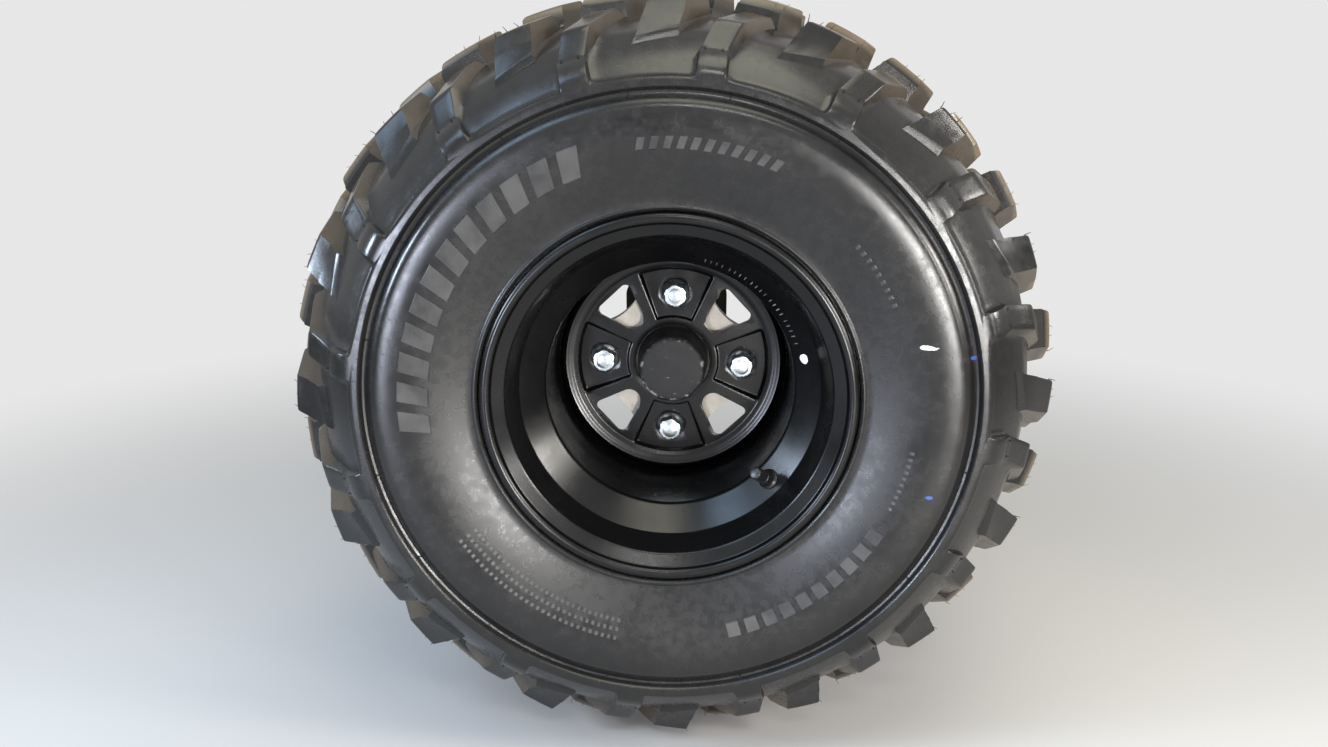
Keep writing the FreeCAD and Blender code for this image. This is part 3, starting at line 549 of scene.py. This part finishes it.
valve = piece_of("valve_stem", verts, wrapped(len(VALVE_ROWS), 120, close_rows=False), 40)
dress(valve, soft_black)
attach(valve, "wheel")
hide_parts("valve")

# Tyre: one vulcanised rubber carcass, held on the rim's seats by air. Sixteen long shoulder bars a
# side run from the flat sidewall over the tread, with a wedge and two blocks between each two.
BAR_COUNT = 16
PITCH = 2 * math.pi / BAR_COUNT
TREAD_TURN = math.radians(7.1)
SLANT = 0.6
FLOOR_STEPS = 14
# how wide the columns of points lie from the middle of a bar, and how much of the bar's height
# each takes: 1 on its top, names for the sides of the bar, 0 on the carcass
BAR_MIDDLE = [(-19.0, 0), (-15.0, 0), (-12.3, 0), (-10.5, "foot"), (-9.9, "wall"), (-9.4, "edge"),
              (-8.4, 1), (-4.5, 1), (0, 1), (4.5, 1), (8.4, 1), (9.4, "edge"), (10.0, "wall"),
              (11.2, "foot"), (14.0, "skirt"), (17.5, 0), (21.5, 0)]
# per row: radius and depth of the carcass, and of the bars' outer face
TREAD_ROWS = [
    (228.2, -13.5, 228.2, -13.5), (229.0, -13.1, 231.0, -13.4), (229.7, -11.0, 234.0, -12.9),
    (230.1, -8.8, 237.0, -11.6), (231.0, -7.4, 240.0, -9.4), (233.2, -5.9, 242.8, -6.7),
    (236.6, -3.3, 245.4, -3.6), (240.6, 0.0, 247.5, -0.3), (244.2, 3.3, 248.4, 1.4),
    (247.4, 6.6, 250.6, 3.2), (250.4, 10.0, 255.0, 6.2), (252.9, 12.9, 260.0, 9.5),
    (254.6, 15.0, 264.5, 12.3), (256.1, 16.9, 267.0, 14.0), (257.5, 18.6, 268.2, 15.2),
    (259.0, 20.6, 268.9, 16.8), (260.4, 22.8, 269.8, 19.8), (261.3, 24.6, 270.8, 22.8),
    (262.2, 26.6, 271.9, 26.4), (263.2, 28.8, 273.0, 29.8), (264.1, 31.0, 274.0, 33.0),
    (264.9, 32.9, 274.9, 35.6), (266.2, 36.0, 276.2, 39.6), (267.5, 39.5, 277.3, 43.4),
    (269.1, 45.4, 278.1, 46.8), (270.2, 50.5, 278.5, 49.4), (270.7, 52.4, 277.6, 50.6),
    (271.0, 54.0, 272.2, 52.8), (271.4, 56.5, 271.4, 56.5), (272.2, 63.0, 272.2, 63.0),
    (272.9, 72.0, 272.9, 72.0), (273.2, 86.0, 273.2, 86.0), (273.4, 100.0, 273.4, 100.0),
    (273.5, 113.0, 273.5, 113.0),
]
# radius and depth of the smooth rows, from the bead's toe out to where the bars begin
SIDE_ROWS = [
    (118.4, 31.5), (119.2, 27.0), (121.6, 18.0), (123.1, 13.4), (125.0, 11.0), (128.0, 9.8),
    (132.3, 9.6), (136.5, 9.6), (139.3, 9.2), (139.5, 6.5), (139.4, 3.4), (140.2, 2.2),
    (141.4, 1.2), (142.6, 1.3), (143.6, 2.0), (145.2, 1.9), (149.0, 0.6), (155.0, -1.6),
    (162.0, -4.0), (170.0, -6.5), (178.0, -8.9), (186.0, -11.0), (194.0, -12.6), (200.0, -13.3),
    (205.0, -13.5), (209.0, -13.4), (211.6, -12.8), (213.6, -11.6), (215.4, -10.1),
    (217.2, -8.7), (218.9, -8.3), (220.3, -8.9), (221.3, -10.8), (222.0, -12.6),
    (222.9, -13.4), (225.5, -13.5),
]
# radius and depth round the hollow inside
CAVITY_ROWS = [(124.0, 196.0), (150, 212), (190, 222), (225, 222), (250, 204), (262, 170),
               (263, 113), (262, 56), (250, 22), (225, 4), (190, 4), (150, 14), (124.0, 30.0)]


def leaning(depth):
    """How far the bars have moved clockwise at a depth, from their knee inwards."""
    return SLANT * max(0.0, depth - 2)


def bar_share(mark, tall):
    """How much of a bar's height a column takes where the bar stands that tall."""
    if tall < 0.4:
        return 0
    return {"edge": 1 - min(0.3 / tall, 0.3), "wall": 1 - min(1.3 / tall, 0.6),
            "foot": min(1.5 / tall, 0.35), "skirt": min(0.45 / tall, 0.12)}.get(mark, mark)


def tread_line(row):
    """One pitch of a row as (angle, radius, depth), from ahead of a bar to the next one."""
    floor_r, floor_w, bar_r, bar_w = row
    line = []
    tall = math.hypot(bar_r - floor_r, bar_w - floor_w)
    for side, mark in BAR_MIDDLE:
        share = bar_share(mark, tall)
        radius, depth = floor_r + (bar_r - floor_r) * share, floor_w + (bar_w - floor_w) * share
        line.append(((side + leaning(depth)) / radius, radius, depth))
    start, end = line[-1][0], line[0][0] + PITCH
    return line + [(start + (end - start) * k / FLOOR_STEPS, floor_r, floor_w)
                   for k in range(1, FLOOR_STEPS)]


per_pitch = len(tread_line(TREAD_ROWS[0]))
columns = BAR_COUNT * per_pitch
evenly = [column / per_pitch * PITCH for column in range(columns)]
verts = [(a, radius, depth) for radius, depth in SIDE_ROWS for a in evenly]
for inboard in (0, 1):
    for row in TREAD_ROWS[-2::-1] if inboard else TREAD_ROWS:
        line = tread_line(row)
        for column in range(columns):
            number, spot = divmod(column + inboard * per_pitch // 2, per_pitch)
            angle, radius, depth = line[spot]
            angle += (number - inboard / 2) * PITCH
            if row is TREAD_ROWS[-1]:
                angle = evenly[column] + (BAR_MIDDLE[0][0] + leaning(depth)) / radius
            verts.append((angle, radius, RIM_WIDTH - depth if inboard else depth))
verts += [(a, radius, RIM_WIDTH - depth) for radius, depth in SIDE_ROWS[::-1] for a in evenly]
verts += [(a, radius, depth) for radius, depth in CAVITY_ROWS for a in evenly]
verts = [(a + TREAD_TURN, radius, depth) for a, radius, depth in verts]
tyre = piece_of("tyre_rubber", placed(verts), wrapped(len(verts) // columns, columns), 32)

# how far a point is from the axle and along it, for finishes that change from ring to ring
from_axle, ends_in, ends_out = group_of(
    "from_axle", [("Coordinates", "Vector", (0, 0, 0))], [("Radius", "Float"), ("Along", "Float")])
parts = node(from_axle, "SeparateXYZ", {0: ends_in.outputs[0]}).outputs
level = node(from_axle, "CombineXYZ", {"X": parts["X"], "Z": parts["Z"]}).outputs[0]
from_axle.links.new(vector_of(from_axle, "LENGTH", level), ends_out.inputs["Radius"])
from_axle.links.new(parts["Y"], ends_out.inputs["Along"])

rubber, tree, shader, spots = new_finish("tyre_rubber")
shader.inputs["Specular IOR Level"].default_value = 0.42
reach = use_group(tree, from_axle, {"Coordinates": spots})["Radius"]
dressing = patchy(tree, spots, 16.0, 0.0, 1.0, 0.25, 0.75)
mottle = patchy(tree, spots, 150.0, -0.05, 0.05)
gloss = number_of(tree, "ADD", span(tree, dressing, 0, 1, 0.17, 0.3), mottle)
gloss = number_of(tree, "ADD", gloss, span(tree, reach, 0.203, 0.168, 0.0, 0.05))
tree.links.new(gloss, shader.inputs["Roughness"])
grained(tree, spots, shader, 1400.0, 0.3)
# the tops of the lugs, and more thinly their clockwise sides, are painted a lighter tan, and the band at
# the lugs' greatest radius lightest
facing = node(tree, "TexCoord").outputs["Normal"]
parts = node(tree, "SeparateXYZ", {0: spots}).outputs
outwards = node(tree, "CombineXYZ", {"X": parts["X"], "Z": parts["Z"]}).outputs[0]
outwards = vector_of(tree, "NORMALIZE", outwards)
clockwise = vector_of(tree, "CROSS_PRODUCT", (0, 1, 0), outwards)
on_top = span(tree, vector_of(tree, "DOT_PRODUCT", facing, outwards), 0.7, 0.95, 0.0, 0.55)
beside = span(tree, vector_of(tree, "DOT_PRODUCT", facing, clockwise), 0.25, 0.75, 0.0, 0.3)
on_top = number_of(tree, "MULTIPLY", on_top, span(tree, reach, 0.2745, 0.2775, 0.3, 1.0))
tan_share = number_of(tree, "MAXIMUM", on_top, beside)
tan_share = number_of(tree, "MULTIPLY", tan_share, span(tree, reach, 0.250, 0.272))
tan_share = number_of(tree, "MAXIMUM", tan_share, span(tree, reach, 0.2845, 0.2895, 0.0, 0.75))
tan_share = number_of(tree, "MULTIPLY", tan_share, span(tree, dressing, 0, 1, 0.6, 1.0))
coat = blend(tree, tan_share, blend(tree, dressing, "131314", "1d1c1b"), "7c6c58")
# a smear of white paint and two specks of blue on the sidewall
for at, wide, high, paint in (((0.1817, -0.274, 0.0462), 0.0058, 0.0018, "e6e4de"),
                              ((0.2140, -0.274, 0.0387), 0.0022, 0.0014, "35559c"),
                              ((0.1884, -0.274, -0.0640), 0.0026, 0.0012, "35559c")):
    away = vector_of(tree, "MULTIPLY", vector_of(tree, "SUBTRACT", spots, at),
                     (1 / wide, 60, 1 / high))
    away = number_of(tree, "ADD", vector_of(tree, "LENGTH", away),
                     span(tree, mottle, -0.05, 0.05, -0.35, 0.35))
    coat = blend(tree, span(tree, away, 1.1, 0.9, 0.0, 0.9), coat, paint)
tree.links.new(coat, shader.inputs["Base Color"])
dress(tyre, rubber)
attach(tyre, "wheel")
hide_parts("tyre")

# Tread blocks: a long wedge between the bars, a near block behind each bar and, nearer the crown,
# a far block behind each wedge, leaning like the bars and moulded in one with the tyre.
# per level: radius at the outer and the inner end, how far the outer end lies in and the other
# sides stand out from the block's plan, and how much the level rises clockwise
WEDGE_LEVELS = [(249.0, 266.0, -1.6, 3.0, 0.28), (254.4, 269.5, -0.6, 2.1, 0.28),
                (255.6, 270.8, -0.1, 1.5, 0.28), (258.6, 273.0, 0.6, 0.9, 0.28),
                (259.4, 273.6, 1.3, 0.6, 0.26), (260.0, 274.0, 2.6, 0.5, 0.24),
                (267.6, 278.0, 6.6, 0.1, 0.08), (268.3, 278.6, 7.6, 0.0, 0.06),
                (278.6, 283.6, 12.2, -0.6, 0.0), (279.9, 284.6, 13.2, -1.0, 0.0),
                (280.6, 285.1, 14.6, -2.2, 0.0)]
NEAR_LEVELS = [(267.0, 270.0, -1.5, 3.6, 0), (271.2, 273.6, -1.0, 2.4, 0),
               (274.0, 275.4, -0.4, 1.4, 0), (283.2, 282.5, 0.4, 0.7, 0),
               (284.0, 284.5, 1.7, 0.6, 0), (287.1, 291.2, 3.6, 0.1, 0),
               (288.5, 292.1, 5.0, -0.5, 0), (289.0, 292.4, 6.6, -1.5, 0)]
FAR_LEVELS = [(269.5, 270.0, -2.0, 3.6, 0), (273.4, 274.0, -1.2, 2.6, 0),
              (274.6, 275.4, -0.2, 1.5, 0), (278.2, 279.5, 0.4, 1.0, 0),
              (279.0, 281.0, 1.8, 0.9, 0), (290.0, 292.8, 5.4, 0.1, 0),
              (291.4, 293.6, 7.0, -0.5, 0), (291.9, 293.9, 8.4, -1.5, 0)]
SKEW = 0.23
# per block: degrees clockwise of the bar, depth of both ends, half its breadth and its levels
BLOCKS = [(math.degrees((3 + SLANT * 31.4) / 268) + 11.25, 14.4, 52.4, 12.2, WEDGE_LEVELS),
          (7.4, 50, 80, 13, NEAR_LEVELS), (19.85, 72, 100, 13, FAR_LEVELS)]


def tread_block(angle, near, far, half, levels, inboard, cells=4):
    """Points and faces of one block whose ends are skewed and whose sides lean."""
    verts, faces = [], []
    for near_r, far_r, behind, out, rise in levels:
        corners = [(-half - out, near + behind), (half + out, near + behind),
                   (half + out, far + out), (-half - out, far + out)]
        for (s0, d0), (s1, d1) in zip(corners, corners[1:] + corners[:1]):
            for c in range(cells):
                side, depth = s0 + (s1 - s0) * c / cells, d0 + (d1 - d0) * c / cells
                share = (depth - near) / (far - near)
                radius = near_r + (far_r - near_r) * share + rise * side * (1 - share)
                depth += SKEW * side
                side += SLANT * (depth - (near + far) / 2)
                verts.append((angle + side / radius, radius, RIM_WIDTH - depth if inboard else depth))
    count = 4 * cells
    for start in range(0, len(verts) - count, count):
        faces += [(start + k, start + (k + 1) % count, start + count + (k + 1) % count,
                   start + count + k) for k in range(count)]
    faces += [tuple(range(len(verts) - count, len(verts))), tuple(range(count - 1, -1, -1))]
    return verts, faces


verts, faces = [], []
for number in range(BAR_COUNT):
    for inboard in (0, 1):
        for lead, *block in BLOCKS:
            angle = (number - inboard / 2) * PITCH + TREAD_TURN + math.radians(lead)
            more, sides = tread_block(angle, *block, inboard)
            faces += [tuple(len(verts) + i for i in side) for side in sides]
            verts += more
tread_blocks = piece_of("tread_blocks", placed(verts), faces)
dress(tread_blocks, rubber)
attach(tread_blocks, "wheel")
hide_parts("tyre")

# Sidewall ribs: plain raised bars and fine ticks moulded in one with the sidewall, in its rubber,
# where a maker would put lettering.
# per group: first angle, step and length in degrees, how many, inner and outer radius, height and
# slant
RIB_GROUPS = [(-97, 6.6, 4.4, 12, 172, 195, 0.55, 0.25), (-7, 2.9, 1.6, 11, 181, 191, 0.7, 0.3),
              (48, 2.0, 0.8, 9, 172, 177, 0.35, 0), (100, 1.6, 0.7, 10, 176, 181, 0.35, 0),
              (121, 4.6, 3.0, 10, 174, 186, 0.6, 0)]
RIB_GROUPS += [(-168, 1.5, 0.7, 30, low, low + 4.5, 0.35, 0) for low in (170, 176.5, 183)]


def side_depth(radius):
    """Depth of the sidewall's skin at a radius."""
    return float(np.interp(radius, *zip(*SIDE_ROWS[11:])))


def rib(start, end, low, high, height, slant, inboard):
    """Points and faces of a raised bar between two angles in degrees and two radii."""
    count = max(2, int(abs(end - start) / 3) + 1)
    verts, faces = [], []
    for angle in np.radians(np.linspace(start, end, count)):
        for radius, up in ((low, -0.6), (low + 1.1, height), (high - 1.1, height), (high, -0.6)):
            depth = side_depth(radius) - up
            verts.append((angle + slant * (radius - low) / radius, radius,
                          RIM_WIDTH - depth if inboard else depth))
    for i in range(count - 1):
        faces += [(4 * i + k, 4 * i + (k + 1) % 4, 4 * i + 4 + (k + 1) % 4, 4 * i + 4 + k)
                  for k in range(4)]
    return verts, faces + [(0, 1, 2, 3), tuple(range(4 * count - 1, 4 * count - 5, -1))]


verts, faces = [], []
for inboard in (0, 1):
    for first, step, length, count, *shape in RIB_GROUPS:
        for k in range(count):
            start = first + step * k
            more, sides = rib(start, start + length, *shape, inboard)
            faces += [tuple(len(verts) + i for i in side) for side in sides]
            verts += more
sidewall_ribs = piece_of("sidewall_ribs", placed(verts), faces)
rib_rubber, tree, shader, spots = new_finish("rib_rubber")
scuffed = patchy(tree, spots, 35.0)
tree.links.new(blend(tree, scuffed, "222223", "3a3937"), shader.inputs["Base Color"])
tree.links.new(span(tree, scuffed, 0, 1, 0.3, 0.5), shader.inputs["Roughness"])
grained(tree, spots, shader, 700.0, 0.5)
dress(sidewall_ribs, rib_rubber)
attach(sidewall_ribs, "wheel")
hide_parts("tyre")

# Vents: thin hairs of the tyre's rubber, left by the mould's air holes on the lugs and in the
# groove. The two beside each bar's knee are trimmed to pips.
HAIR_SIDES = 6
verts, faces = [], []
picked = np.random.default_rng(4)
for number in range(BAR_COUNT):
    turn = number * PITCH + TREAD_TURN
    # angle, radius, depth, length and bend
    hairs = [(turn + side / 249, 248.3, 0.9, 1.9, 0.0) for side in (-6, 6)]
    hairs += [(turn + math.radians(5.6 + 1.8 * k + picked.uniform(-0.4, 0.4)), 286.4 + k / 3,
               54.5 + k, picked.uniform(3.5, 5.2), 0.5) for k in range(3)]
    hairs += [(turn + math.radians(12.6 + 1.7 * k), 280.6 + k / 2, 31.0 + 4 * k,
               picked.uniform(4, 7), 0.5) for k in range(3)]
    hairs += [(turn + math.radians(picked.uniform(-2, 9)), 219.0, -8.2, 4.4, 0.6)]
    for angle, radius, depth, length, bend in hairs:
        wide = 0.75 if length < 2 else 0.42
        lean = picked.uniform(-1, 1) * bend
        out = 1.0 if radius > 240 else 0.1
        faces += [tuple(len(verts) + i for i in side)
                  for side in wrapped(5, HAIR_SIDES, close_rows=False)
                  + [tuple(range(HAIR_SIDES)), tuple(range(5 * HAIR_SIDES - 1, 4 * HAIR_SIDES - 1, -1))]]
        for share in (0, 0.25, 0.5, 0.75, 1):
            thin = wide * (1 - 0.55 * share)
            for a in even_angles(HAIR_SIDES):
                side = thin * math.cos(a) + lean * length * share ** 2
                away = thin * math.sin(a)
                verts.append((angle + side / radius, radius + out * length * share + (1 - out) * away,
                              depth + out * away - (1 - out) * length * share))
vents = piece_of("vent_hairs", placed(verts), faces)
dress(vents, rubber)
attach(vents, "wheel")
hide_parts("tyre")

# Nuts: closed steel flange nuts with domed ends, zinc-plated, screwed on the hub's studs. Their
# flanges clamp the disc's pads to the hub.
HEX_FLAT = 8.5
# radius, height and share of the hexagon
NUT_ROWS = [(11.3, 0.0, 0), (11.6, 0.5, 0), (11.6, 1.6, 0), (11.2, 2.1, 0), (9.9, 2.9, 0.3),
            (9.82, 3.6, 1), (9.82, 8.0, 1), (9.82, 13.1, 1), (9.5, 13.8, 1), (9.0, 14.2, 1),
            (8.3, 14.4, 0.9), (7.3, 14.45, 0), (6.3, 14.4, 0), (5.7, 14.7, 0), (4.2, 15.05, 0),
            (2.2, 15.25, 0), (0.01, 15.3, 0)]
zinc, tree, shader, spots = new_finish("zinc_plate")
shader.inputs["Metallic"].default_value = 1
tree.links.new(blend(tree, patchy(tree, spots, 90.0), "c6cacb", "a7b2b7"), shader.inputs["Base Color"])
tree.links.new(patchy(tree, spots, 160.0, 0.24, 0.4), shader.inputs["Roughness"])
columns = 96
for number, spin in enumerate((0.3, 0.9, 0.55, 0.15), 1):
    verts = []
    for radius, height, hexed in NUT_ROWS:
        for a in even_angles(columns):
            flat = HEX_FLAT / math.cos((a + math.pi / 6) % (math.pi / 3) - math.pi / 6)
            r = radius + (min(radius, flat) - radius) * hexed
            (x, z), = spun([(r * math.cos(a + spin), STUD_RADIUS + r * math.sin(a + spin))],
                           WHEEL_TURN + number * math.pi / 2)
            verts.append((x, RIM_FACE + (NUT_SEAT - height) / 1000, z))
    nut = piece_of(f"nut_{number}", verts, wrapped(len(NUT_ROWS), columns, close_rows=False)
                   + [tuple(range(columns - 1, -1, -1))], 30)
    dress(nut, zinc)
    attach(nut, "wheel")
    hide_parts(f"lug_nut_{number}")

# Centre cap: a hollow eight-sided cup moulded in black plastic, pressed into the disc's centre hole,
# with a painted highlight in pale patches round the edge of its face and short scratches on its face.
CAP_ROWS = [(0.01, 100.9), (8, 100.92), (17, 101.0), (22.5, 101.15), (24.6, 101.35), (25.8, 101.9),
            (26.8, 102.9), (27.3, 104.4), (27.7, 109), (28.6, 122), (29.5, 134), (29.8, 138.4),
            (27.6, 138.4), (25.6, 120), (25.0, 103.6), (12, 103.3), (0.01, 103.2)]
FACETED = range(3, 10)
columns = 192
verts = []
for row, (radius, depth) in enumerate(CAP_ROWS):
    for a in even_angles(columns):
        flat = radius * 0.968 / math.cos((a + math.pi / 8) % (math.pi / 4) - math.pi / 8)
        verts.append((a, min(radius, flat + 0.35) if row in FACETED else radius, depth))
centre_cap = piece_of("centre_cap_moulded", placed(verts),
                      wrapped(len(CAP_ROWS), columns, close_rows=False), 30)
cap_plastic, tree, shader, spots = new_finish("cap_plastic")
shader.inputs["Specular IOR Level"].default_value = 0.3
scuffs = patchy(tree, spots, 60.0)
place = use_group(tree, from_axle, {"Coordinates": spots})
# painted highlight: the edge of the face is painted pale in patches, and short pale scratches are added
highlight_and_scratches = number_of(tree, "MULTIPLY", span(tree, place["Radius"], 0.0234, 0.0246, 0.0, 0.7),
                   patchy(tree, spots, 130.0, 0.0, 1.0, 0.52, 0.6))
highlight_and_scratches = number_of(tree, "MULTIPLY", highlight_and_scratches, span(tree, place["Along"], -0.1598, -0.1606))
drawn_out = vector_of(tree, "MULTIPLY", spots, (0.25, 1, 1.6))
highlight_and_scratches = number_of(tree, "MAXIMUM", highlight_and_scratches, patchy(tree, drawn_out, 420.0, 0.0, 0.55, 0.66, 0.7))
tree.links.new(blend(tree, highlight_and_scratches, blend(tree, scuffs, "161617", "202021"), "9a9a9c"),
               shader.inputs["Base Color"])
tree.links.new(span(tree, scuffs, 0, 1, 0.5, 0.68), shader.inputs["Roughness"])
grained(tree, spots, shader, 1100.0, 0.3)
dress(centre_cap, cap_plastic)
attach(centre_cap, "wheel")
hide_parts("centre_cap")
